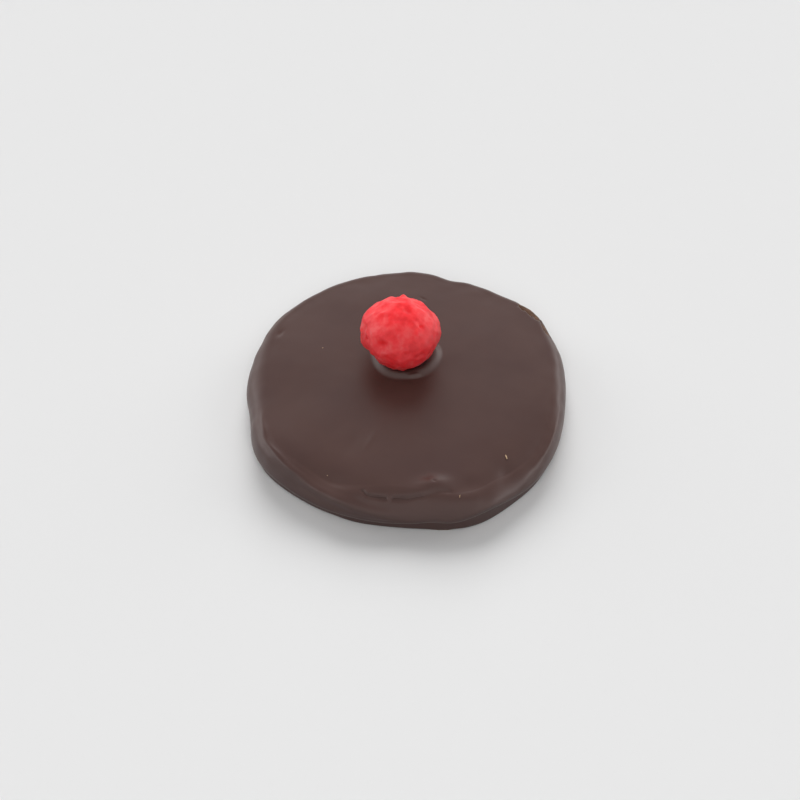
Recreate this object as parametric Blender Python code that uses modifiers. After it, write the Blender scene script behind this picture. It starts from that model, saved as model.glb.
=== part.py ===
"""A round biscuit in a chocolate coating, with a red sugared nut set in a pat of chocolate.

Three solids. The biscuit is a thick disc with a flat underside, and carries the whole.
The chocolate coating is a cap over the biscuit's top and side. Its lower edge stops a
little above the ground, and two thin places at one side leave the biscuit bare. The
topping is a lumpy ball that sits in a shallow well in a low pat of chocolate.

Nothing about it is quite round: outline, shoulder and side change with the azimuth. The
coating's lining and the biscuit are the coating's outside drawn in by a depth, so that
the three surfaces keep their distance.
"""

from math import atan2, cos, degrees, exp, pi, radians, sin

import bmesh
import bpy
from mathutils import Matrix, Vector

MM = 0.001

# Coated biscuit, driving sizes.
COATED_RADIUS = 30.4 * MM         # at its widest line, before the outline's unevenness
CROWN_HEIGHT = 9.0 * MM           # top of the shallow dome, above the ground
SHOULDER_HEIGHT = 8.2 * MM        # where the dome turns over into the side
CORNER_REACH = 2.0 * MM           # of that turn, in plan
WALL_LEAN = 0.2 * MM              # how far the side leans in from the widest line up
WIDEST_HEIGHT = 4.0 * MM
LIP_DROP = 1.6 * MM               # from the widest line to where the foot starts
FOOT_INSET = 0.8 * MM             # how far the foot stands in
FOOT_DRAFT = 0.1 * MM             # how far it draws in further down to the ground
COATING_THICKNESS = 1.2 * MM
GAP = 0.3 * MM                    # clearance between neighbouring solids
BISCUIT_CHAMFER = 0.5 * MM        # at its bottom edge

# The coating's lower edge.
EDGE_HEIGHT = 0.35 * MM
EDGE_RIPPLE = 0.15 * MM
EDGE_RIPPLES_AROUND = 7

# Rows about the rim: azimuth and half width in degrees, then what is added there.
EDGE_RISES = [
    (285, 12, 0.25 * MM),
    (244, 6, 0.3 * MM),
    (60, 12, 0.4 * MM),
    (135, 10, 0.3 * MM),
]
OUTLINE_SWELLS = [
    (-5, 15, -0.2 * MM),
    (18, 12, 0.9 * MM),
    (37, 10, 1.8 * MM),
    (72, 6, -0.8 * MM),
    (87, 5, 0.2 * MM),
    (147, 9, 0.3 * MM),
    (191, 10, -0.7 * MM),
    (211, 14, 1.1 * MM),
    (239, 20, -0.1 * MM),
    (264, 20, -0.5 * MM),
    (293, 15, 1.5 * MM),
    (320, 16, 0.85 * MM),
]
SHOULDER_RISES = [
    (236, 14, -1.0 * MM),
    (318, 22, -1.4 * MM),
]
CORNER_SPREADS = [
    (2, 28, 1.0 * MM),
    (184, 28, 2.7 * MM),
    (264, 18, 2.0 * MM),
    (302, 22, 0.6 * MM),
]
WALL_LEANS = [
    (15, 24, 0.2 * MM),
    (232, 16, 0.9 * MM),
    (272, 22, 0.6 * MM),
    (305, 18, 0.5 * MM),
]
WIDEST_RISES = [
    (235, 22, -0.8 * MM),
    (279, 5, 0.5 * MM),
    (297, 10, 1.1 * MM),
]
# How square the shoulder's corner is: 2 is an ellipse and more is squarer.
CORNER_POWER = 3.0
CORNER_ROUNDINGS = [
    (8, 30, -0.8),
    (178, 24, -1.0),
    (264, 18, -1.2),
    (302, 22, -1.2),
]

# Low swells and hollows of the top: place, half width, height.
TOP_RELIEF = [
    ((-13.0 * MM, -23.0 * MM), 6.0 * MM, -0.35 * MM),
    ((5.4 * MM, -24.9 * MM), 3.5 * MM, 0.30 * MM),
    ((18.0 * MM, -20.5 * MM), 5.0 * MM, -0.25 * MM),
    ((-22.0 * MM, 7.0 * MM), 9.0 * MM, 0.20 * MM),
    ((12.0 * MM, 17.0 * MM), 9.0 * MM, -0.15 * MM),
]

# Bare patches at the shoulder: azimuth in degrees, inset, height, half length, half height.
BARE_PATCHES = [
    (38.5, 0.9 * MM, 7.6 * MM, 3.0 * MM, 1.7 * MM),
    (28, 0.7 * MM, 7.4 * MM, 2.0 * MM, 1.1 * MM),
]
PATCH_DEPTH = 2.2 * MM

# Topping and the pat of chocolate that holds it.
TOPPING_WIDTH = 14.5 * MM
TOPPING_DEPTH = 14.8 * MM
TOPPING_HEIGHT = 12.9 * MM
TOPPING_SINK = 0.3 * MM           # below the top of the dome
TOPPING_PLACE = Vector((-1.1 * MM, 5.6 * MM))
PAT_PLACE = Vector((-0.1 * MM, 5.7 * MM))
PAT_RADIUS = 6.5 * MM
PAT_RISE = 0.85 * MM              # above the dome
PAT_ROOT = 0.6 * MM               # below the dome
PAT_EDGE = 0.9 * MM               # radius of its rounded edge
# Lumps of the topping: azimuth, elevation and half width in degrees, height.
TOPPING_LUMPS = [
    (161, 16, 26, 0.6 * MM),
    (0, 0, 24, 0.1 * MM),
    (291, -40, 24, -0.1 * MM),
    (255, -30, 22, -0.3 * MM),
    (203, -31, 9, -2.0 * MM),
    (215, -16, 8, -1.7 * MM),
    (210, -24, 8, -0.9 * MM),
    (310, -35, 10, -0.2 * MM),
    (69, 40, 12, -0.3 * MM),
    (100, 45, 20, 0.1 * MM),
    (225, 35, 24, 0.3 * MM),
    (320, 20, 22, 0.3 * MM),
    (40, -20, 24, 0.4 * MM),
]

# How finely the surfaces are stepped.
COLUMNS = 64
DOME_STEPS = 7
CORNER_STEPS = 6
LIP_STEPS = 3
PAT_STEPS = 4
TOPPING_SUBDIVISIONS = 4
PATCH_SUBDIVISIONS = 3
MERGE_DISTANCE = 0.01 * MM


# ---- The uneven form, shared by the coating and the biscuit ----


def bell(distance, half_width):
    """A smooth bell: one at its middle, and near nothing two half widths away."""
    return exp(-(distance / half_width) ** 2)


def turn_between(azimuth, other):
    """The angle from one azimuth to another, in degrees from -180 to 180."""
    return (azimuth - other + 180) % 360 - 180


def bells(azimuth, rows):
    return sum(
        height * bell(turn_between(azimuth, middle), half_width)
        for middle, half_width, height in rows
    )


def outline_radius(azimuth):
    return COATED_RADIUS + bells(azimuth, OUTLINE_SWELLS)


def corner_reach(azimuth):
    return CORNER_REACH + bells(azimuth, CORNER_SPREADS)


def wall_lean(azimuth):
    return WALL_LEAN + bells(azimuth, WALL_LEANS)


def shoulder_height(azimuth):
    return SHOULDER_HEIGHT + bells(azimuth, SHOULDER_RISES)


def edge_height(azimuth):
    """Height of the coating's lower edge."""
    ripple = EDGE_RIPPLE * sin(EDGE_RIPPLES_AROUND * radians(azimuth))
    return EDGE_HEIGHT + bells(azimuth, EDGE_RISES) + ripple


def top_relief(place):
    return sum(
        height * bell((place - Vector(middle)).length, half_width)
        for middle, half_width, height in TOP_RELIEF
    )


def direction(azimuth, elevation):
    level = cos(radians(elevation))
    return Vector((
        level * cos(radians(azimuth)),
        level * sin(radians(azimuth)),
        sin(radians(elevation)),
    ))


def outline_middle():
    """The middle of the uneven outline's bounding box."""
    turns = [360 * column / COLUMNS for column in range(COLUMNS)]
    ring = [direction(azimuth, 0) * outline_radius(azimuth) for azimuth in turns]
    return Vector((
        (min(place.x for place in ring) + max(place.x for place in ring)) / 2,
        (min(place.y for place in ring) + max(place.y for place in ring)) / 2,
    ))


def dome_form(azimuth, depth):
    """Radius and height of the dome from its middle out, at a depth under the top."""
    reach = outline_radius(azimuth) - depth - corner_reach(azimuth) - wall_lean(azimuth)
    fall = CROWN_HEIGHT - SHOULDER_HEIGHT
    rise = bells(azimuth, SHOULDER_RISES)
    points = []
    for step in range(DOME_STEPS):
        share = sin(pi / 2 * step / DOME_STEPS)
        points.append((reach * share, CROWN_HEIGHT - depth - fall * share**3 + rise * share**8))
    return points


def side_form(azimuth, depth):
    """Radius and height of the shoulder's corner and of the lip, at a depth."""
    wall = outline_radius(azimuth) - depth
    widest = WIDEST_HEIGHT + bells(azimuth, WIDEST_RISES)
    rise = shoulder_height(azimuth) - depth - widest
    power = 2 / (CORNER_POWER + bells(azimuth, CORNER_ROUNDINGS))
    points = []
    for step in range(CORNER_STEPS + 1):
        turn = pi / 2 * step / CORNER_STEPS
        upward = max(cos(turn), 0) ** power
        inset = corner_reach(azimuth) * (1 - sin(turn) ** power) + wall_lean(azimuth) * upward
        points.append((wall - inset, widest + rise * upward))
    for step in range(1, LIP_STEPS + 1):
        turn = pi / 2 * step / LIP_STEPS
        points.append((wall - FOOT_INSET * (1 - cos(turn)), widest - LIP_DROP * sin(turn)))
    return points


def outside_form(azimuth, depth, foot_height):
    """The whole outside at a depth, from the middle of the top down to the foot."""
    foot = outline_radius(azimuth) - depth - FOOT_INSET - FOOT_DRAFT
    return dome_form(azimuth, depth) + side_form(azimuth, depth) + [(foot, foot_height)]


def placed(azimuth, radius, height, middle):
    """A point of the form, with the top's swells, which fade down the side."""
    place = (direction(azimuth, 0) * radius).xy - middle
    return Vector((place.x, place.y, height + top_relief(place) * height / CROWN_HEIGHT))


# ---- Blender objects ----


def clear_scene():
    for old in list(bpy.data.objects):
        bpy.data.objects.remove(old, do_unlink=True)


def new_collection(name):
    made = bpy.data.collections.new(name)
    bpy.context.scene.collection.children.link(made)
    return made


def new_material(name, colour, roughness):
    made = bpy.data.materials.new(name)
    made.use_nodes = True
    surface = made.node_tree.nodes["Principled BSDF"]
    surface.inputs["Base Color"].default_value = (*colour, 1)
    surface.inputs["Roughness"].default_value = roughness
    surface.inputs["Metallic"].default_value = 0
    return made


def link_mesh(name, mesh, collection, material=None):
    made = bpy.data.objects.new(name, mesh)
    collection.objects.link(made)
    if material:
        mesh.materials.append(material)
    return made


def link_cutter(name, mesh, collection):
    made = link_mesh(name, mesh, collection)
    made.hide_render = True
    made.display_type = "WIRE"
    return made


def add_boolean(target, operation, other):
    modifier = target.modifiers.new(f"{operation.lower()} {other.name}", "BOOLEAN")
    modifier.operation = operation
    modifier.solver = "EXACT"
    modifier.object = other


def food_mesh(name, form, middle):
    """A globe whose rings are moved to the points of a form that changes with the azimuth."""
    rings = len(form(0)) - 1
    top = Vector((0, 0, 1))
    shape = bmesh.new()
    bmesh.ops.create_uvsphere(shape, u_segments=COLUMNS, v_segments=rings, radius=1)
    for vertex in shape.verts:
        azimuth = degrees(atan2(vertex.co.y, vertex.co.x))
        ring = round(vertex.co.angle(top) / pi * rings)
        vertex.co = placed(azimuth, *form(azimuth)[ring], middle)
    mesh = bpy.data.meshes.new(name)
    shape.to_mesh(mesh)
    shape.free()
    mesh.shade_smooth()
    mesh.set_sharp_from_angle(angle=radians(35))
    return mesh


def ball_mesh(name, subdivisions):
    mesh = bpy.data.meshes.new(name)
    shape = bmesh.new()
    bmesh.ops.create_icosphere(shape, subdivisions=subdivisions, radius=1)
    shape.to_mesh(mesh)
    shape.free()
    return mesh


# ---- Sub-parts ----


def biscuit_form(azimuth):
    points = outside_form(azimuth, COATING_THICKNESS + GAP, BISCUIT_CHAMFER)
    points.append((points[-1][0] - BISCUIT_CHAMFER, 0))
    points.append((0, 0))
    return points


def coating_form(azimuth):
    """The coating's outside down to its lower edge, and back up its lining."""
    edge = edge_height(azimuth)
    lining = outside_form(azimuth, COATING_THICKNESS, edge)
    return outside_form(azimuth, 0, edge) + lining[::-1]


def topping_point(way, clearance):
    """Where the topping's surface lies along a direction from its middle."""
    lumps = sum(
        height * bell(degrees(way.angle(direction(azimuth, elevation))), half_width)
        for azimuth, elevation, half_width, height in TOPPING_LUMPS
    )
    ball = Vector((way.x * TOPPING_WIDTH, way.y * TOPPING_DEPTH, way.z * TOPPING_HEIGHT)) / 2
    return ball + way * (lumps + clearance)


def topping_mesh(name, clearance=0.0):
    mesh = ball_mesh(name, TOPPING_SUBDIVISIONS)
    height = CROWN_HEIGHT - TOPPING_SINK + TOPPING_HEIGHT / 2
    centre = Vector((TOPPING_PLACE.x, TOPPING_PLACE.y, height))
    for vertex in mesh.vertices:
        vertex.co = centre + topping_point(vertex.co.normalized(), clearance)
    mesh.shade_smooth()
    return mesh


def make_pat(collection):
    """The pat of chocolate that the topping was pressed into: a disc with a rounded edge."""
    top = CROWN_HEIGHT + PAT_RISE
    profile = [(0, top)]
    for step in range(PAT_STEPS + 1):
        turn = pi / 2 * step / PAT_STEPS
        profile.append((
            PAT_RADIUS - PAT_EDGE + PAT_EDGE * sin(turn),
            top - PAT_EDGE + PAT_EDGE * cos(turn),
        ))
    profile.append((PAT_RADIUS, CROWN_HEIGHT - PAT_ROOT))
    profile.append((0, CROWN_HEIGHT - PAT_ROOT))
    mesh = bpy.data.meshes.new("pat of chocolate")
    points = [(radius, 0, height) for radius, height in profile]
    edges = [(index, index + 1) for index in range(len(points) - 1)]
    mesh.from_pydata(points, edges, [])
    pat = link_cutter(mesh.name, mesh, collection)
    pat.location = (PAT_PLACE.x, PAT_PLACE.y, 0)
    screw = pat.modifiers.new("turned", "SCREW")
    screw.steps = COLUMNS
    screw.render_steps = COLUMNS
    screw.use_merge_vertices = True
    screw.merge_threshold = MERGE_DISTANCE
    return pat


def make_patch_cutter(index, patch, collection, middle):
    azimuth, inset, height, half_length, half_height = patch
    mesh = ball_mesh(f"bare patch {index}", PATCH_SUBDIVISIONS)
    centre = placed(azimuth, outline_radius(azimuth) - inset, height, middle)
    mesh.transform(Matrix.Diagonal((PATCH_DEPTH, half_length, half_height, 1)))
    mesh.transform(Matrix.Rotation(radians(azimuth), 4, "Z"))
    mesh.transform(Matrix.Translation(centre))
    return link_cutter(mesh.name, mesh, collection)


def main():
    clear_scene()
    parts = new_collection("chocolate cookie")
    cutters = new_collection("cutters")
    middle = outline_middle()

    crumb = new_material("biscuit crumb", (0.30, 0.16, 0.07), 0.9)
    chocolate = new_material("dark chocolate", (0.055, 0.023, 0.018), 0.35)
    sugar = new_material("red sugar", (0.75, 0.05, 0.06), 0.45)

    link_mesh("biscuit", food_mesh("biscuit", biscuit_form, middle), parts, crumb)
    skin = food_mesh("chocolate_coating", coating_form, middle)
    coating = link_mesh("chocolate_coating", skin, parts, chocolate)
    link_mesh("sugared_nut", topping_mesh("sugared_nut"), parts, sugar)

    add_boolean(coating, "UNION", make_pat(cutters))
    well = link_cutter("well", topping_mesh("well", GAP), cutters)
    add_boolean(coating, "DIFFERENCE", well)
    for index, patch in enumerate(BARE_PATCHES, start=1):
        cutter = make_patch_cutter(index, patch, cutters, middle)
        add_boolean(coating, "DIFFERENCE", cutter)


main()
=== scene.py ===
"""Looks of the chocolate cookie: a coated biscuit with a red sugared nut on top.

Each CAD solid is replaced by a finer piece of the same shape and size. The coating is
one fine skin: its columns run out from the middle of the pat under the topping to the
shoulder, down the side, round the lower edge and back along a lining. The biscuit's side
has a ring under each ring of the coating's side, so that it can come up close under the
coating where the coating is missing. Swells, creases and bare patches are real relief.
"""

from math import cos, pi, radians, sin

import bmesh
import bpy
import numpy as np
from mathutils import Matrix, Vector, noise
from mathutils.bvhtree import BVHTree


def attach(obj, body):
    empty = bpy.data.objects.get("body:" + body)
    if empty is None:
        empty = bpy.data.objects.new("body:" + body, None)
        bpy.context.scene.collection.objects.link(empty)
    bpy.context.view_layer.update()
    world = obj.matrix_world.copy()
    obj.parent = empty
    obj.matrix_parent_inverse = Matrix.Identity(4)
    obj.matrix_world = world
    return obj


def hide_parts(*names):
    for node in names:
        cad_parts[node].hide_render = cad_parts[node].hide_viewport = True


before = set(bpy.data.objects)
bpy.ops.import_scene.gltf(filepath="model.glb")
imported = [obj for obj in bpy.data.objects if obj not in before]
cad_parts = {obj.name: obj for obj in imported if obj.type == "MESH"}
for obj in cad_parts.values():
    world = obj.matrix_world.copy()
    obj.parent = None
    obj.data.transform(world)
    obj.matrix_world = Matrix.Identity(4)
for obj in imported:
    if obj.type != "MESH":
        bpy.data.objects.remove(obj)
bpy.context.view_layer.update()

MM = 0.001

# ---- Sizes, as in the CAD ----

COATED_RADIUS = 30.4 * MM         # at the widest place, before the outline's swells
CROWN_HEIGHT = 9.0 * MM           # top of the shallow dome
SHOULDER_HEIGHT = 8.2 * MM
CORNER_REACH = 2.0 * MM           # of the shoulder's rounding, in plan
WALL_LEAN = 0.2 * MM              # how far the side leans in from the widest place up
WIDEST_HEIGHT = 4.0 * MM
LIP_DROP = 1.6 * MM               # from the widest place to where the foot starts
FOOT_INSET = 0.8 * MM
FOOT_DRAFT = 0.1 * MM             # how far the foot draws in further down to the edge
EDGE_HEIGHT = 0.35 * MM           # of the coating's lower edge
COATING_THICKNESS = 1.2 * MM
GAP = 0.3 * MM                    # between the coating and the biscuit
DOME_POWER = 3                    # of the way out, by which the dome falls
SHOULDER_RISE_POWER = 8           # of the way out, by which the shoulder's rises come in

# Rows about the rim: azimuth and half width in degrees, then what is added there.
OUTLINE_SWELLS = [
    (-5, 15, -0.2 * MM),
    (18, 12, 0.9 * MM),
    (37, 10, 1.8 * MM),
    (72, 6, -0.8 * MM),
    (87, 5, 0.2 * MM),
    (147, 9, 0.3 * MM),
    (191, 10, -0.7 * MM),
    (211, 14, 1.1 * MM),
    (239, 20, -0.1 * MM),
    (264, 20, -0.5 * MM),
    (293, 15, 1.5 * MM),
    (320, 16, 0.85 * MM),
]
SHOULDER_RISES = [
    (236, 14, -1.0 * MM),
    (318, 22, -1.4 * MM),
]
CORNER_SPREADS = [
    (2, 28, 1.0 * MM),
    (184, 28, 2.7 * MM),
    (264, 18, 2.0 * MM),
    (302, 22, 0.6 * MM),
]
WALL_LEANS = [
    (15, 24, 0.2 * MM),
    (232, 16, 0.9 * MM),
    (272, 22, 0.6 * MM),
    (305, 18, 0.5 * MM),
]
WIDEST_RISES = [
    (235, 22, -0.8 * MM),
    (279, 5, 0.5 * MM),
    (297, 10, 1.1 * MM),
]
EDGE_RISES = [
    (285, 12, 0.25 * MM),
    (244, 6, 0.3 * MM),
    (60, 12, 0.4 * MM),
    (135, 10, 0.3 * MM),
]
# Ripples round a ring: how many, where they start in radians, height.
EDGE_RIPPLES = [
    (7, 0, 0.15 * MM),
]
# How square the shoulder's corner is: 2 is an ellipse and more is squarer.
CORNER_POWER = 3.0
CORNER_ROUNDINGS = [
    (8, 30, -0.8),
    (178, 24, -1.0),
    (264, 18, -1.2),
    (302, 22, -1.2),
]
# Azimuth, inset and height of the middle, half length, half height.
BARE_PATCHES = [
    (38.5, 0.9 * MM, 7.6 * MM, 3.0 * MM, 1.7 * MM),
    (28, 0.7 * MM, 7.4 * MM, 2.0 * MM, 1.1 * MM),
]

TOPPING_SIZE = np.array([14.5, 14.8, 12.9]) * MM
TOPPING_SINK = 0.3 * MM
TOPPING_PLACE = np.array([-1.1, 5.6]) * MM
PAT_PLACE = np.array([-0.1, 5.7]) * MM
PAT_RADIUS = 6.5 * MM
PAT_RISE = 0.85 * MM

# ---- Relief of the coating ----

WIDEST_RIPPLES = [
    (5, 1, 0.15 * MM),
    (13, 2, 0.10 * MM),
]
# A low bead along the shoulder: azimuth and half width in degrees, inset, height.
RIM_BEADS = [
    (203, 7, 2.6 * MM, 0.36 * MM),
    (214, 7, 2.0 * MM, 0.42 * MM),
    (225, 7, 1.5 * MM, 0.52 * MM),
    (236, 7, 1.1 * MM, 0.54 * MM),
    (245, 6, 0.8 * MM, 0.54 * MM),
    (252, 6, 0.5 * MM, 0.54 * MM),
    (260, 6, 0.4 * MM, 0.44 * MM),
    (332, 12, 1.0 * MM, 0.25 * MM),
]
BEAD_HALF_WIDTH = 0.45 * MM

# Place, half length, half width, direction in degrees, height. All lengths are in mm.
TOP_SWELLS = [
    ((-13.5, -23.7), 4.4, 1.7, -27, -0.65),
    ((-7.5, -25.6), 3.0, 1.5, -12, -0.25),
    ((4.7, -25.5), 3.3, 1.8, 8, 1.0),
    ((10.6, -25.3), 3.6, 1.6, 22, -0.30),
    ((17.9, -21.5), 1.8, 1.2, 50, -0.30),
    ((-6.7, -15.4), 2.0, 0.5, 61, 0.12),
    ((-9.9, -16.0), 2.4, 1.2, 61, -0.12),
    ((-24.2, 12.3), 0.9, 0.45, 60, -0.20),
    ((-22.0, 7.0), 9.0, 6.0, 90, 0.15),
    ((12.0, 17.0), 9.0, 7.0, 0, -0.15),
    ((-19.0, -12.0), 6.0, 3.0, -50, -0.12),
    ((4.9, -25.0), 0.22, 0.22, 0, -0.30),
    ((1.6, 0.3), 1.1, 0.30, 10, 0.40),
    ((3.3, 21.4), 0.7, 0.22, -35, -0.14),
]
# Thin creases where one run of chocolate stopped on another: from, to, width, depth, in mm.
CREASES = [
    ((-7.9, -26.1), (-7.3, -26.9), 0.24, 0.42),
    ((-7.3, -26.9), (-3.8, -27.5), 0.24, 0.45),
    ((-2.4, -27.6), (0.3, -27.7), 0.28, 0.48),
    ((0.3, -27.7), (2.9, -27.5), 0.28, 0.42),
    ((2.9, -27.5), (7.6, -26.7), 0.40, 0.20),
]

# The pat's slope and its well, each from and to an inset from the pat's radius.
PAT_SLOPE = (-0.5 * MM, 1.2 * MM)
PAT_WELL = (1.5 * MM, 3.0 * MM)
PAT_WELL_DEPTH = 1.0 * MM
PAT_DEPTH_SHARE = 0.9             # depth against width, which are the same in the CAD
PAT_UNEVENNESS = 0.1              # in places it rises by up to twice this share more
PAT_RIPPLES = [
    (3, 1, 0.15 * MM),
    (5, 0, 0.08 * MM),
]

# Noise: height, size of its features, seed, and the octaves where there is more than one.
BROAD_RELIEF = (0.09 * MM, 8 * MM, 1)
FINE_RELIEF = (0.03 * MM, 2.8 * MM, 2)
RIM_RELIEF = (0.11 * MM, 2.6 * MM, 4)
RIM_RELIEF_INSETS = (6 * MM, 1 * MM)    # where it starts and where it is whole
RELIEF_LEVELS = (-0.1, 0.4)       # upward part of the normal where the top's relief fades in
SKIN_SINK = 0.10 * MM             # keeps the relief inside the CAD's outside
SEED_STEPS = (17.3, 5.9, 11.1)    # how far one seed's noise lies from the next one's
NOISE_FALL = 1.0                  # in strength from octave to octave
NOISE_CLOSING = 2.0               # in size from octave to octave

# The bare patches' edge, by distance from the middle, with 1 as the patch's own size.
PATCH_EDGE = (1.15, 0.85)
PATCH_RAGGEDNESS = (0.30, 1.3 * MM, 3, 3)
PATCH_SINK = 1.0 * MM             # of the coating inside the patch
PATCH_BISCUIT_EDGE = (1.6, 1.1)
PATCH_BISCUIT_DEPTH = 0.25 * MM   # of the biscuit under the coating's outside there

# ---- Grid of the coating ----

COLUMNS = 720
NEAR_RADIUS = 8.5 * MM            # out to here the rings are circles about the pat
NEAR_STEP = 0.17 * MM
FAR_STEP = 0.8 * MM
RIM_BAND = 7.0 * MM
RIM_STEP = 0.22 * MM
SHOULDER_RINGS = 26
LIP_RINGS = 10
FOOT_RINGS = 6
EDGE_RADIUS = 0.2 * MM            # of the rounding of the coating's lower edge
EDGE_RINGS = 6
MIDDLE_STEP = 5.0                 # degrees between the places that the outline's box holds
# The lining's corner, ring by ring: inset from its wall, drop from the shoulder.
LINING_CORNER = [
    (0.0 * MM, 2.8 * MM),
    (0.4 * MM, 1.8 * MM),
    (1.4 * MM, 1.35 * MM),
]
LINING_TOP = (0.9, 0.75, 0.5, 0.25, 0.0)    # shares of the way from the pat to the corner

# ---- Biscuit ----

BISCUIT_COLUMNS = 480
BISCUIT_RINGS = 10                # on the top, and again down the foot
BISCUIT_CORNER_RINGS = 5
UNDERSIDE_RINGS = 50
BISCUIT_SHOULDER = 1.4 * MM       # how far it draws in from the wall up to the shoulder
BISCUIT_ROUNDING = 0.3 * MM       # of the bottom edge
BISCUIT_FOOT = 0.8 * MM           # from here down the foot stands in by its full inset
UNDERSIDE_LEVEL = 0.25 * MM       # below it the crumb roughens upward, above it outward
CRUMB_RELIEF = (0.10 * MM, 1.0 * MM, 11, 4)
# Where the foot comes out to show under the coating's edge: azimuth, half width, reach.
FOOT_FLARES = [
    (284, 14, 0.8 * MM),
    (244, 5, 0.7 * MM),
]
FLARE_DROP = 0.3 * MM             # below the edge, until the flare is whole

# ---- Topping ----

# Azimuth, elevation and half width in degrees, height. The first thirteen are the CAD's.
TOPPING_LUMPS = [
    (161, 16, 26, 0.6 * MM),
    (0, 0, 24, 0.1 * MM),
    (291, -40, 24, -0.1 * MM),
    (255, -30, 22, -0.3 * MM),
    (203, -31, 9, -2.0 * MM),
    (215, -16, 8, -1.7 * MM),
    (210, -24, 8, -0.9 * MM),
    (310, -35, 10, -0.2 * MM),
    (69, 40, 12, -0.3 * MM),
    (100, 45, 20, 0.1 * MM),
    (225, 35, 24, 0.3 * MM),
    (320, 20, 22, 0.3 * MM),
    (40, -20, 24, 0.4 * MM),
    (85, 43, 5, 0.55 * MM),
    (323, 50, 3.5, -0.75 * MM),
    (310, 57, 5, 0.30 * MM),
    (303, 42, 5, 0.30 * MM),
    (350, 78, 6, -0.60 * MM),
    (289, 66, 9, -0.25 * MM),
    (256, 42, 6, -0.65 * MM),
    (238, 22, 8, -0.60 * MM),
    (246, 13, 5, 0.40 * MM),
    (281, 20, 5, 0.25 * MM),
    (199, 21, 4, 0.30 * MM),
    (207, 17, 4, -0.40 * MM),
    (192, -9, 10, 0.40 * MM),
    (223, -40, 14, -0.60 * MM),
    (303, 4, 9, -0.45 * MM),
    (324, 13, 9, 0.30 * MM),
    (275, -10, 12, 0.15 * MM),
]
TOPPING_SUBDIVISIONS = 6
TOPPING_SWELLS = (0.25 * MM, 4.5 * MM, 22)
TOPPING_GRAIN = (0.12 * MM, 1.1 * MM, 21, 2)
TOPPING_FOLDS = (0.60 * MM, 4.2 * MM, 20, 2)
TOPPING_FOLD_CREST = 0.06 * MM    # how high the folds' crests stand

# ---- Crumbs ----

# Place on the top, length, width, direction in degrees. All lengths are in mm.
CRUMBS = [
    ((18.0, -18.3), 1.15, 0.27, 103),
    ((-15.9, 7.9), 0.20, 0.16, 20),
    ((-14.3, -22.1), 0.20, 0.15, 70),
    ((9.4, -27.5), 0.90, 0.10, 85),
]
CRUMB_SUBDIVISIONS = 2
CRUMB_LUMPS = (0.5, 0.8, 31)      # as shares of the crumb's radius
CRUMB_LIFT = 0.15                 # of its width, from the coating to its middle

# ---- Camera and light ----

FOCAL_LENGTH = 85.0
CAMERA_DISTANCE = 357 * MM
CAMERA_ELEVATION = 48.0
CAMERA_TARGET = Vector((-1.23, -0.68, 3.5)) * MM
CAMERA_CLIP = 10 * MM

FLOOR_SIZE = 6.0
FLOOR_COLOUR = 0.80
FLOOR_SHADE = 0.807               # how light the floor shows, with 1 as white
# Round softboxes: name, azimuth and elevation they shine from, angle across, share of light.
SOFTBOXES = [
    ("back_light", 90, 38, 44, 0.42),
    ("left_light", 152, 24, 40, 0.08),
    ("right_light", 28, 24, 40, 0.08),
    ("front_light", 268, 50, 40, 0.27),
    ("top_light", 90, 90, 120, 0.15),
]
# Strength of the surroundings that the gloss shows.
OVERHEAD_SHADE = 0.62
HORIZON_SHADE = 1.6               # at the back
LEFT_SHADE = 2.8                  # along the horizon to the left
RIGHT_SHADE = 3.0
FRONT_SHADE = 1.15
# Where one changes to the other: from and to, as parts of the direction along an axis.
OVERHEAD_RISE = (sin(radians(5)), sin(radians(48)))
LEFT_TURN = (-0.6, -0.9)
RIGHT_TURN = (0.45, 0.75)
FRONT_TURN = (-0.25, -0.75)


def turn_between(azimuth, other):
    return (azimuth - other + 180) % 360 - 180


def bells(azimuth, rows):
    """Sum of smooth bells about the rim."""
    total = np.zeros_like(azimuth)
    for middle, half_width, height in rows:
        total += height * np.exp(-(turn_between(azimuth, middle) / half_width) ** 2)
    return total


def ripples(turn, rows):
    """Sum of waves round a full turn."""
    total = np.zeros_like(turn)
    for count, start, height in rows:
        total += height * np.sin(count * turn + start)
    return total


def outline_radius(azimuth):
    return COATED_RADIUS + bells(azimuth, OUTLINE_SWELLS)


def outline_middle():
    """Middle of the uneven outline's box, which the CAD puts at the origin."""
    azimuth = np.arange(0, 360, MIDDLE_STEP)
    turn = np.radians(azimuth)
    ring = outline_radius(azimuth) * np.stack([np.cos(turn), np.sin(turn)])
    return (ring.max(axis=1) + ring.min(axis=1)) / 2


MIDDLE = outline_middle()


def corner_reach(azimuth):
    return CORNER_REACH + bells(azimuth, CORNER_SPREADS)


def wall_lean(azimuth):
    return WALL_LEAN + bells(azimuth, WALL_LEANS)


def shoulder_inset(azimuth):
    return corner_reach(azimuth) + wall_lean(azimuth)


def rim_place(place):
    """Azimuth of places in plan and how far in from the outline they lie."""
    offset = place + MIDDLE
    azimuth = np.degrees(np.arctan2(offset[..., 1], offset[..., 0]))
    return azimuth, outline_radius(azimuth) - np.linalg.norm(offset, axis=-1)


def dome_height(place):
    """Height of the smooth top, which falls slowly and then faster to the shoulder."""
    azimuth, inset = rim_place(place)
    outline = outline_radius(azimuth)
    share = (outline - inset) / (outline - shoulder_inset(azimuth))
    fall = (CROWN_HEIGHT - SHOULDER_HEIGHT) * share**DOME_POWER
    return CROWN_HEIGHT - fall + bells(azimuth, SHOULDER_RISES) * share**SHOULDER_RISE_POWER


def edge_height(azimuth):
    ripple = ripples(np.radians(azimuth), EDGE_RIPPLES)
    return EDGE_HEIGHT + bells(azimuth, EDGE_RISES) + ripple


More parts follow.
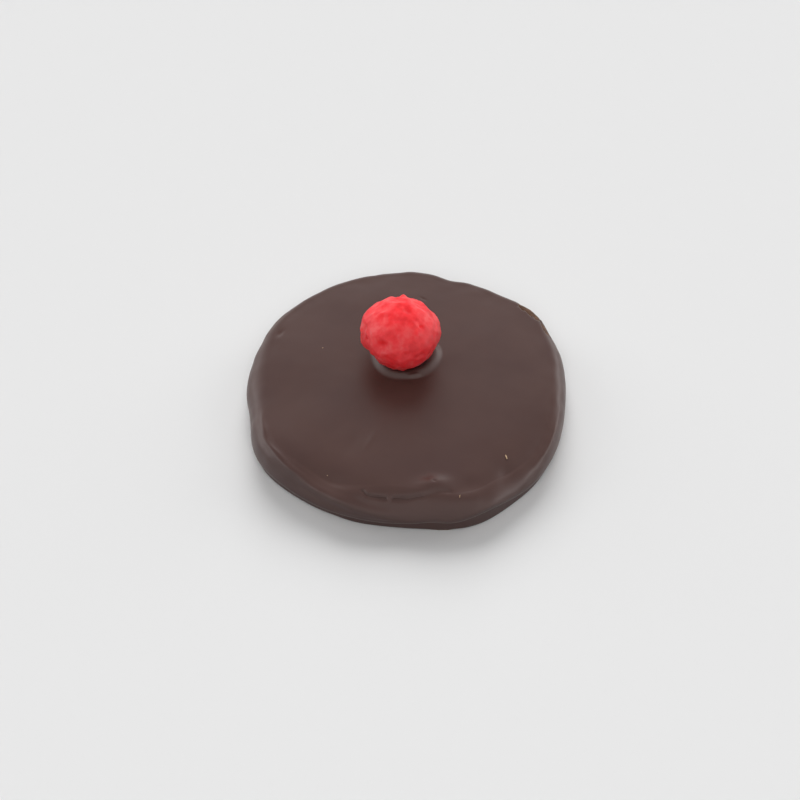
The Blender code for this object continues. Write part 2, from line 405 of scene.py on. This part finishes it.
def field(points, height, size, seed, octaves=1):
    """Smooth noise at the points, about -height to height, with features of the given size."""
    offset = Vector([seed * step for step in SEED_STEPS])
    places = (Vector(point) / size + offset for point in points.reshape(-1, 3))
    if octaves == 1:
        values = [noise.noise(place) for place in places]
    else:
        values = [noise.fractal(place, NOISE_FALL, NOISE_CLOSING, octaves) for place in places]
    return height * np.array(values).reshape(points.shape[:-1])


def smooth_step(low, high, value):
    """From 0 at the low value to 1 at the high one, which may lie below it."""
    part = np.clip((value - low) / (high - low), 0, 1)
    return part * part * (3 - 2 * part)


# ---- Meshes ----


def ring_mesh(name, rings):
    """A closed mesh from rings of points, with a pole at each end."""
    count, columns = rings.shape[:2]
    body = rings[1:-1].reshape(-1, 3)
    points = np.vstack([rings[0].mean(axis=0), body, rings[-1].mean(axis=0)])
    last = len(points) - 1
    faces = []
    for column in range(columns):
        right = (column + 1) % columns
        faces.append((0, 1 + column, 1 + right))
        for ring in range(count - 3):
            here = 1 + ring * columns
            below = here + columns
            faces.append((here + column, below + column, below + right, here + right))
        end = 1 + (count - 3) * columns
        faces.append((end + column, last, end + right))
    mesh = bpy.data.meshes.new(name)
    mesh.from_pydata(points.tolist(), [], faces)
    mesh.validate()
    mesh.shade_smooth()
    return mesh


def ball(subdivisions):
    """Directions and faces of a fine round ball."""
    shape = bmesh.new()
    bmesh.ops.create_icosphere(shape, subdivisions=subdivisions, radius=1)
    ways = np.array([vertex.co.normalized() for vertex in shape.verts])
    faces = np.array([[vertex.index for vertex in face.verts] for face in shape.faces])
    shape.free()
    return ways, faces


def add_piece(name, mesh, material, slot, *nodes):
    """Put a mesh on the root body, in place of the CAD nodes named."""
    piece = bpy.data.objects.new(name, mesh)
    bpy.context.scene.collection.objects.link(piece)
    mesh.materials.append(material)
    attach(piece, "root")
    if nodes:
        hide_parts(*nodes)
    return piece


# ---- Form of the coated biscuit ----


def side_form(azimuth):
    """Radius and height of the coating's side in rings, from the shoulder to its lower edge."""
    outline = outline_radius(azimuth)
    power = 2 / (CORNER_POWER + bells(azimuth, CORNER_ROUNDINGS))
    widest = WIDEST_HEIGHT + bells(azimuth, WIDEST_RISES)
    widest += ripples(np.radians(azimuth), WIDEST_RIPPLES)
    rise = SHOULDER_HEIGHT + bells(azimuth, SHOULDER_RISES) - widest
    corner = corner_reach(azimuth)
    lean = wall_lean(azimuth)
    radius = []
    height = []
    for turn in np.linspace(0, pi / 2, SHOULDER_RINGS):
        upward = max(cos(turn), 0) ** power
        radius.append(outline - corner * (1 - sin(turn) ** power) - lean * upward)
        height.append(widest + rise * upward)
    lip = widest - LIP_DROP
    for turn in np.linspace(0, pi / 2, LIP_RINGS)[1:]:
        radius.append(outline - FOOT_INSET * (1 - cos(turn)))
        height.append(widest - LIP_DROP * sin(turn))
    edge = edge_height(azimuth) + EDGE_RADIUS
    for part in np.linspace(0, 1, FOOT_RINGS)[1:]:
        radius.append(outline - FOOT_INSET - FOOT_DRAFT * part)
        height.append(lip + (edge - lip) * part)
    return np.array(radius), np.array(height)


def outward_lean(radius, height):
    """How far the side's normal points outward and upward, ring by ring."""
    out = -np.gradient(height, axis=0)
    up = np.gradient(radius, axis=0)
    length = np.hypot(out, up)
    return out / length, up / length


def placed(way, radius, height):
    """Points from rings of radius and height along each column's way."""
    plan = way * radius[..., None] - MIDDLE
    return np.concatenate([plan, height[..., None]], axis=-1)


def side_surface(azimuth, way):
    """The coating's side in rings: radius, height, points and normals."""
    radius, height = side_form(azimuth)
    out, up = outward_lean(radius, height)
    normals = np.concatenate([way * out[..., None], up[..., None]], axis=-1)
    return radius, height, placed(way, radius, height), normals


def pat_height(place):
    """Rise of the pat of chocolate round the topping's foot, above the dome."""
    offset = (place - PAT_PLACE) / np.array([1, PAT_DEPTH_SHARE])
    distance = np.linalg.norm(offset, axis=-1)
    turn = np.arctan2(offset[..., 1], offset[..., 0])
    inset = PAT_RADIUS + ripples(turn, PAT_RIPPLES) - distance
    rise = PAT_RISE * (1 + PAT_UNEVENNESS * (1 + np.sin(2 * turn)))
    return rise * smooth_step(*PAT_SLOPE, inset) - PAT_WELL_DEPTH * smooth_step(*PAT_WELL, inset)


def swells(place):
    """Height of the swells and hollows at places in plan."""
    total = np.zeros(place.shape[:-1])
    for middle, half_length, half_width, heading, height in TOP_SWELLS:
        offset = place - np.array(middle) * MM
        along = np.array([cos(radians(heading)), sin(radians(heading))])
        across = np.array([-along[1], along[0]])
        reach = (offset @ along / (half_length * MM)) ** 2
        reach += (offset @ across / (half_width * MM)) ** 2
        total += height * MM * np.exp(-reach)
    return total


def creases(place):
    """Height of the creases' grooves, all below nothing, at places in plan."""
    total = np.zeros(place.shape[:-1])
    for start, end, width, depth in CREASES:
        start = np.array(start) * MM
        run = np.array(end) * MM - start
        part = np.clip((place - start) @ run / (run @ run), 0, 1)
        distance = np.linalg.norm(place - start - part[..., None] * run, axis=-1)
        groove = -depth * MM * np.exp(-(distance / (width * MM)) ** 2)
        total = np.minimum(total, groove)
    return total


def rim_beads(azimuth, inset):
    """Height of the shoulder's beads."""
    total = np.zeros(azimuth.shape)
    for middle, half_width, place, height in RIM_BEADS:
        reach = (turn_between(azimuth, middle) / half_width) ** 2
        reach += ((inset - place) / BEAD_HALF_WIDTH) ** 2
        total += height * np.exp(-reach)
    return total


def patch_reach(points):
    """Distance from the nearest bare patch's middle, about 1 at its ragged edge."""
    azimuth, inset = rim_place(points[..., :2])
    nearest = np.full(azimuth.shape, np.inf)
    for middle, depth, level, half_length, half_height in BARE_PATCHES:
        along = radians(1) * turn_between(azimuth, middle) * COATED_RADIUS / half_length
        across = np.hypot(inset - depth, points[..., 2] - level) / half_height
        nearest = np.minimum(nearest, np.hypot(along, across))
    return nearest + field(points, *PATCH_RAGGEDNESS)


def columns_about(count):
    """Azimuth and way in plan of evenly spread columns."""
    azimuth = np.arange(count) * 360 / count
    turn = np.radians(azimuth)
    return azimuth, np.stack([np.cos(turn), np.sin(turn)], axis=-1)


# ---- Coating ----


def dome_rings(shoulder):
    """Places in plan of the top's rings, from the pat's middle to the shoulder."""
    reach = shoulder - PAT_PLACE
    distance = np.linalg.norm(reach, axis=-1)
    heading = reach / distance[:, None]
    rings = [PAT_PLACE + heading * radius for radius in np.arange(0, NEAR_RADIUS, NEAR_STEP)]
    inner = distance - RIM_BAND
    middle_count = round((inner.mean() - NEAR_RADIUS) / FAR_STEP)
    for part in np.arange(middle_count) / middle_count:
        radius = NEAR_RADIUS + (inner - NEAR_RADIUS) * part
        rings.append(PAT_PLACE + heading * radius[:, None])
    rim_count = round(RIM_BAND / RIM_STEP)
    for part in np.arange(rim_count) / rim_count:
        radius = inner + RIM_BAND * part
        rings.append(PAT_PLACE + heading * radius[:, None])
    return np.array(rings)


def coating_top(azimuth, way):
    """Points of the dome and the pat."""
    shoulder = way * (outline_radius(azimuth) - shoulder_inset(azimuth))[:, None]
    plan = dome_rings(shoulder - MIDDLE)
    level = dome_height(plan) + pat_height(plan)
    return np.concatenate([plan, level[..., None]], axis=-1)


def coating_side(azimuth, way):
    """Points and normals of the side and of the rounding of its lower edge."""
    radius, height, points, normals = side_surface(azimuth, way)
    edge_points = []
    edge_normals = []
    for turn in np.linspace(0, pi, EDGE_RINGS)[1:]:
        foot = radius[-1] - EDGE_RADIUS * (1 - cos(turn))
        edge_points.append(placed(way, foot, height[-1] - EDGE_RADIUS * sin(turn)))
        down = np.full((len(way), 1), -sin(turn))
        edge_normals.append(np.concatenate([way * cos(turn), down], axis=-1))
    return (
        np.concatenate([points, np.array(edge_points)]),
        np.concatenate([normals, np.array(edge_normals)]),
    )


def coating_lining(azimuth, way):
    """Points of the hidden inside, from the side in to the pat's middle."""
    wall = outline_radius(azimuth) - COATING_THICKNESS
    shoulder = SHOULDER_HEIGHT + bells(azimuth, SHOULDER_RISES)
    rings = [placed(way, wall, np.full(len(way), WIDEST_HEIGHT))]
    for inset, drop in LINING_CORNER:
        rings.append(placed(way, wall - inset, shoulder - drop))
    inner = rings[-1][:, :2] - PAT_PLACE
    for part in LINING_TOP:
        plan = PAT_PLACE + inner * part
        level = dome_height(plan) + swells(plan) - COATING_THICKNESS
        rings.append(np.concatenate([plan, level[:, None]], axis=-1))
    return np.array(rings)


def make_coating(material):
    azimuth, way = columns_about(COLUMNS)
    top = coating_top(azimuth, way)
    side, side_normals = coating_side(azimuth, way)
    skin = np.concatenate([top, side])
    normals = np.concatenate([np.tile([0.0, 0.0, 1.0], (*top.shape[:2], 1)), side_normals])
    plan = skin[..., :2]
    rim_azimuth, inset = rim_place(plan)
    relief = swells(plan) + creases(plan) + rim_beads(rim_azimuth, inset)
    relief += field(skin, *RIM_RELIEF) * smooth_step(*RIM_RELIEF_INSETS, inset)
    relief *= smooth_step(*RELIEF_LEVELS, normals[..., 2])
    relief += field(skin, *BROAD_RELIEF) + field(skin, *FINE_RELIEF)
    bare = smooth_step(*PATCH_EDGE, patch_reach(skin))
    skin += normals * (relief - SKIN_SINK - PATCH_SINK * bare)[..., None]
    mesh = ring_mesh("coating", np.concatenate([skin, coating_lining(azimuth, way)]))
    return add_piece("coating", mesh, material, "chocolate", "chocolate_coating")


# ---- Biscuit ----


def biscuit_side(azimuth, way):
    """Points of the biscuit's side, ring for ring under the coating's side."""
    radius, height, points, normals = side_surface(azimuth, way)
    outline = outline_radius(azimuth)
    wall = outline - COATING_THICKNESS - GAP
    widest = height[SHOULDER_RINGS - 1]
    squeeze = 1 - (COATING_THICKNESS + GAP) / (height[0] - widest)
    share = np.clip((outline - radius) / shoulder_inset(azimuth), 0, 1)
    share[SHOULDER_RINGS:] = 0
    inner_radius = wall - BISCUIT_SHOULDER * share
    inner_height = np.where(height > widest, widest + (height - widest) * squeeze, height)
    inner_radius -= (FOOT_INSET - GAP) * smooth_step(widest, BISCUIT_FOOT, inner_height)
    inner = placed(way, inner_radius, inner_height)
    close = smooth_step(*PATCH_BISCUIT_EDGE, patch_reach(points))[..., None]
    close[SHOULDER_RINGS:] = 0
    near_skin = points - normals * PATCH_BISCUIT_DEPTH
    return inner + (near_skin - inner) * close


def biscuit_foot(azimuth, way, last):
    """Points down from the side's last ring, round the bottom edge and in to the middle."""
    rings = []
    inner_foot = np.linalg.norm(last[:, :2] + MIDDLE, axis=-1)
    start = last[:, 2]
    edge = edge_height(azimuth)
    for part in np.linspace(0, 1, BISCUIT_RINGS)[1:]:
        height = start + (BISCUIT_ROUNDING - start) * part
        below = smooth_step(edge, edge - FLARE_DROP, height)
        foot = inner_foot + bells(azimuth, FOOT_FLARES) * below
        rings.append(placed(way, foot, height))
    for turn in np.linspace(0, pi / 2, BISCUIT_CORNER_RINGS)[1:]:
        height = np.full(len(way), BISCUIT_ROUNDING * (1 - sin(turn)))
        rings.append(placed(way, foot - BISCUIT_ROUNDING * (1 - cos(turn)), height))
    for part in np.linspace(1, 0, UNDERSIDE_RINGS)[1:]:
        rings.append(placed(way, (foot - BISCUIT_ROUNDING) * part, np.zeros(len(way))))
    return rings


def make_biscuit(material):
    azimuth, way = columns_about(BISCUIT_COLUMNS)
    side = biscuit_side(azimuth, way)
    rings = []
    for part in np.linspace(0, 1, BISCUIT_RINGS)[:-1]:
        plan = side[0][:, :2] * part
        level = dome_height(plan) + swells(plan) - COATING_THICKNESS - GAP
        rings.append(np.column_stack([plan, level]))
    rings.extend(side)
    rings.extend(biscuit_foot(azimuth, way, side[-1]))
    skin = np.array(rings)
    crumb = field(skin, *CRUMB_RELIEF)
    outward = skin[..., :2] + MIDDLE
    outward /= np.maximum(np.linalg.norm(outward, axis=-1), MM)[..., None]
    above = skin[..., 2] > UNDERSIDE_LEVEL
    skin[..., :2] += outward * np.where(above, crumb, 0)[..., None]
    skin[..., 2] += np.where(above, 0, np.abs(crumb))
    mesh = ring_mesh("baked_biscuit", skin)
    return add_piece("baked_biscuit", mesh, material, "biscuit", "biscuit")


# ---- Topping ----


def direction(azimuth, elevation):
    """The unit way that points there, both in degrees."""
    level = cos(radians(elevation))
    return np.array([
        level * cos(radians(azimuth)),
        level * sin(radians(azimuth)),
        sin(radians(elevation)),
    ])


def make_topping(material):
    ways, faces = ball(TOPPING_SUBDIVISIONS)
    lumps = np.zeros(len(ways))
    for azimuth, elevation, half_width, height in TOPPING_LUMPS:
        angle = np.degrees(np.arccos(np.clip(ways @ direction(azimuth, elevation), -1, 1)))
        lumps += height * np.exp(-(angle / half_width) ** 2)
    points = ways * TOPPING_SIZE / 2 + ways * lumps[:, None]
    relief = field(points, *TOPPING_SWELLS) + field(points, *TOPPING_GRAIN)
    relief += TOPPING_FOLD_CREST - np.abs(field(points, *TOPPING_FOLDS))
    points += ways * relief[:, None]
    height = CROWN_HEIGHT - TOPPING_SINK + TOPPING_SIZE[2] / 2
    points += [*TOPPING_PLACE, height]
    mesh = bpy.data.meshes.new("topping")
    mesh.from_pydata(points.tolist(), [], faces.tolist())
    mesh.shade_smooth()
    return add_piece("topping", mesh, material, "topping", "sugared_nut")


# ---- Crumbs ----


def make_crumbs(coating, material):
    """Loose bits of biscuit stuck to the chocolate, in one mesh."""
    mesh = coating.data
    corners = [vertex.co for vertex in mesh.vertices]
    tree = BVHTree.FromPolygons(corners, [face.vertices for face in mesh.polygons])
    ways, faces = ball(CRUMB_SUBDIVISIONS)
    points = []
    all_faces = []
    for index, (place, length, width, heading) in enumerate(CRUMBS):
        above = Vector((place[0] * MM, place[1] * MM, 2 * CROWN_HEIGHT))
        foot = tree.ray_cast(above, Vector((0, 0, -1)))[0]
        lumpy = 1 + field(ways + index, *CRUMB_LUMPS)
        body = ways * lumpy[:, None] * np.array([length, width, width]) / 2 * MM
        turn = radians(heading)
        turned = np.array([[cos(turn), sin(turn), 0], [-sin(turn), cos(turn), 0], [0, 0, 1]])
        all_faces.append(faces + len(ways) * index)
        points.append(body @ turned + np.array(foot) + [0, 0, CRUMB_LIFT * width * MM])
    mesh = bpy.data.meshes.new("crumbs")
    mesh.from_pydata(np.concatenate(points).tolist(), [], np.concatenate(all_faces).tolist())
    mesh.shade_smooth()
    return add_piece("crumbs", mesh, material, "biscuit")


# ---- Materials ----


def new_material(name):
    material = bpy.data.materials.new(name)
    material.use_nodes = True
    return material, material.node_tree.nodes, material.node_tree.links


def add_noise(nodes, links, size, detail, seed):
    """A noise texture in object space with features of the given size."""
    place = nodes.new("ShaderNodeTexCoord")
    texture = nodes.new("ShaderNodeTexNoise")
    texture.noise_dimensions = "4D"
    texture.inputs["W"].default_value = seed
    texture.inputs["Scale"].default_value = 1 / size
    texture.inputs["Detail"].default_value = detail
    links.new(place.outputs["Object"], texture.inputs["Vector"])
    return texture.outputs["Fac"]


def add_ramp(nodes, links, value, stops):
    """Colours by value, from stops of position and colour."""
    ramp = nodes.new("ShaderNodeValToRGB")
    points = ramp.color_ramp.elements
    while len(points) < len(stops):
        points.new(0.5)
    for point, (position, colour) in zip(points, stops):
        point.position = position
        point.color = (*colour, 1)
    links.new(value, ramp.inputs["Fac"])
    return ramp.outputs["Color"]


def add_range(nodes, links, value, low, high):
    spread = nodes.new("ShaderNodeMapRange")
    spread.inputs["To Min"].default_value = low
    spread.inputs["To Max"].default_value = high
    links.new(value, spread.inputs["Value"])
    return spread.outputs["Result"]


def add_bump(nodes, links, height, strength, distance):
    bump = nodes.new("ShaderNodeBump")
    bump.inputs["Strength"].default_value = strength
    bump.inputs["Distance"].default_value = distance
    links.new(height, bump.inputs["Height"])
    return bump.outputs["Normal"]


def chocolate_material():
    material, nodes, links = new_material("dark_chocolate")
    surface = nodes["Principled BSDF"]
    patches = add_noise(nodes, links, size=11 * MM, detail=3, seed=1)
    colour = add_ramp(nodes, links, patches, [
        (0.3, (0.050, 0.020, 0.016)),
        (0.7, (0.062, 0.027, 0.021)),
    ])
    links.new(colour, surface.inputs["Base Color"])
    film = add_noise(nodes, links, size=4 * MM, detail=4, seed=2)
    roughness = add_range(nodes, links, film, low=0.36, high=0.46)
    links.new(roughness, surface.inputs["Roughness"])
    fine = add_noise(nodes, links, size=0.8 * MM, detail=3, seed=3)
    normal = add_bump(nodes, links, fine, strength=0.2, distance=0.015 * MM)
    links.new(normal, surface.inputs["Normal"])
    surface.inputs["IOR"].default_value = 1.5
    return material


def biscuit_material():
    material, nodes, links = new_material("baked_crumb")
    surface = nodes["Principled BSDF"]
    crumb = add_noise(nodes, links, size=1.2 * MM, detail=5, seed=4)
    colour = add_ramp(nodes, links, crumb, [
        (0.30, (0.055, 0.027, 0.017)),
        (0.50, (0.095, 0.049, 0.030)),
        (0.72, (0.18, 0.095, 0.058)),
    ])
    links.new(colour, surface.inputs["Base Color"])
    roughness = add_range(nodes, links, crumb, low=0.75, high=0.95)
    links.new(roughness, surface.inputs["Roughness"])
    fine = add_noise(nodes, links, size=0.4 * MM, detail=4, seed=5)
    normal = add_bump(nodes, links, fine, strength=0.6, distance=0.08 * MM)
    links.new(normal, surface.inputs["Normal"])
    return material


def crumb_material():
    material, nodes, links = new_material("pale_crumb")
    surface = nodes["Principled BSDF"]
    grain = add_noise(nodes, links, size=0.3 * MM, detail=3, seed=8)
    colour = add_ramp(nodes, links, grain, [
        (0.3, (0.35, 0.22, 0.12)),
        (0.7, (0.62, 0.46, 0.30)),
    ])
    links.new(colour, surface.inputs["Base Color"])
    roughness = add_range(nodes, links, grain, low=0.7, high=0.9)
    links.new(roughness, surface.inputs["Roughness"])
    normal = add_bump(nodes, links, grain, strength=0.5, distance=0.05 * MM)
    links.new(normal, surface.inputs["Normal"])
    return material


def topping_material():
    material, nodes, links = new_material("red_sugar")
    surface = nodes["Principled BSDF"]
    clouds = add_noise(nodes, links, size=1.8 * MM, detail=3, seed=6)
    colour = add_ramp(nodes, links, clouds, [
        (0.34, (0.80, 0.010, 0.018)),
        (0.50, (0.92, 0.024, 0.034)),
        (0.66, (0.95, 0.075, 0.080)),
    ])
    links.new(colour, surface.inputs["Base Color"])
    grain = add_noise(nodes, links, size=0.7 * MM, detail=4, seed=7)
    roughness = add_range(nodes, links, grain, low=0.40, high=0.65)
    links.new(roughness, surface.inputs["Roughness"])
    normal = add_bump(nodes, links, grain, strength=0.5, distance=0.08 * MM)
    links.new(normal, surface.inputs["Normal"])
    surface.inputs["IOR"].default_value = 1.46
    surface.inputs["Subsurface Weight"].default_value = 0.8
    surface.inputs["Subsurface Radius"].default_value = (1.0, 0.10, 0.08)
    surface.inputs["Subsurface Scale"].default_value = 6 * MM
    return material


def floor_material():
    material, nodes, links = new_material("pale_floor")
    surface = nodes["Principled BSDF"]
    surface.inputs["Base Color"].default_value = (FLOOR_COLOUR, FLOOR_COLOUR, FLOOR_COLOUR, 1)
    surface.inputs["Roughness"].default_value = 0.9
    surface.inputs["Specular IOR Level"].default_value = 0.0
    return material


# ---- Stage ----


def make_floor():
    bpy.ops.mesh.primitive_plane_add(size=FLOOR_SIZE)
    floor = bpy.context.active_object
    floor.name = "floor"
    floor.data.materials.append(floor_material())


def add_step(nodes, links, value, low, high):
    """A smooth step as the value goes from low to high: 0 to 1, until its ends are set."""
    step = nodes.new("ShaderNodeMapRange")
    step.interpolation_type = "SMOOTHSTEP"
    step.inputs["From Min"].default_value = low
    step.inputs["From Max"].default_value = high
    links.new(value, step.inputs["Value"])
    return step


def make_world():
    """Surroundings for the gloss: lightest low at the left and right, dim overhead."""
    world = bpy.data.worlds.new("studio")
    bpy.context.scene.world = world
    world.use_nodes = True
    world.cycles_visibility.diffuse = False
    nodes = world.node_tree.nodes
    links = world.node_tree.links
    way = nodes.new("ShaderNodeTexCoord")
    parts = nodes.new("ShaderNodeSeparateXYZ")
    links.new(way.outputs["Generated"], parts.inputs["Vector"])
    rise = add_step(nodes, links, parts.outputs["Z"], *OVERHEAD_RISE)
    rise.inputs["To Max"].default_value = OVERHEAD_SHADE
    left = add_step(nodes, links, parts.outputs["X"], *LEFT_TURN)
    left.inputs["To Min"].default_value = HORIZON_SHADE
    left.inputs["To Max"].default_value = LEFT_SHADE
    right = add_step(nodes, links, parts.outputs["X"], *RIGHT_TURN)
    links.new(left.outputs["Result"], right.inputs["To Min"])
    right.inputs["To Max"].default_value = RIGHT_SHADE
    links.new(right.outputs["Result"], rise.inputs["To Min"])
    front = add_step(nodes, links, parts.outputs["Y"], *FRONT_TURN)
    blend = nodes.new("ShaderNodeMix")
    links.new(front.outputs["Result"], blend.inputs["Factor"])
    links.new(rise.outputs["Result"], blend.inputs["A"])
    blend.inputs["B"].default_value = FRONT_SHADE
    links.new(blend.outputs["Result"], nodes["Background"].inputs["Strength"])
    nodes["Background"].inputs["Color"].default_value = (1, 1, 1, 1)


def make_softboxes():
    """Lamps for the matt part of each surface; the gloss shows the surroundings instead."""
    floor_light = pi * FLOOR_SHADE / FLOOR_COLOUR
    for name, azimuth, elevation, across, share in SOFTBOXES:
        light = bpy.data.lights.new(name, "SUN")
        light.angle = radians(across)
        light.energy = floor_light * share / sin(radians(elevation))
        lamp = bpy.data.objects.new(name, light)
        bpy.context.scene.collection.objects.link(lamp)
        way = Vector(direction(azimuth, elevation))
        lamp.location = way
        lamp.rotation_euler = (-way).to_track_quat("-Z", "Y").to_euler()
        lamp.visible_glossy = False


def make_camera():
    camera = bpy.data.cameras.new("camera")
    camera.lens = FOCAL_LENGTH
    camera.clip_start = CAMERA_CLIP
    holder = bpy.data.objects.new("camera", camera)
    bpy.context.scene.collection.objects.link(holder)
    elevation = radians(CAMERA_ELEVATION)
    back = Vector((0, -cos(elevation), sin(elevation)))
    holder.location = CAMERA_TARGET + back * CAMERA_DISTANCE
    holder.rotation_euler = (-back).to_track_quat("-Z", "Y").to_euler()
    bpy.context.scene.camera = holder
    bpy.context.scene.view_settings.view_transform = "Standard"


make_camera()
make_world()
make_softboxes()
make_floor()
coating = make_coating(chocolate_material())
make_biscuit(biscuit_material())
make_topping(topping_material())
make_crumbs(coating, crumb_material())
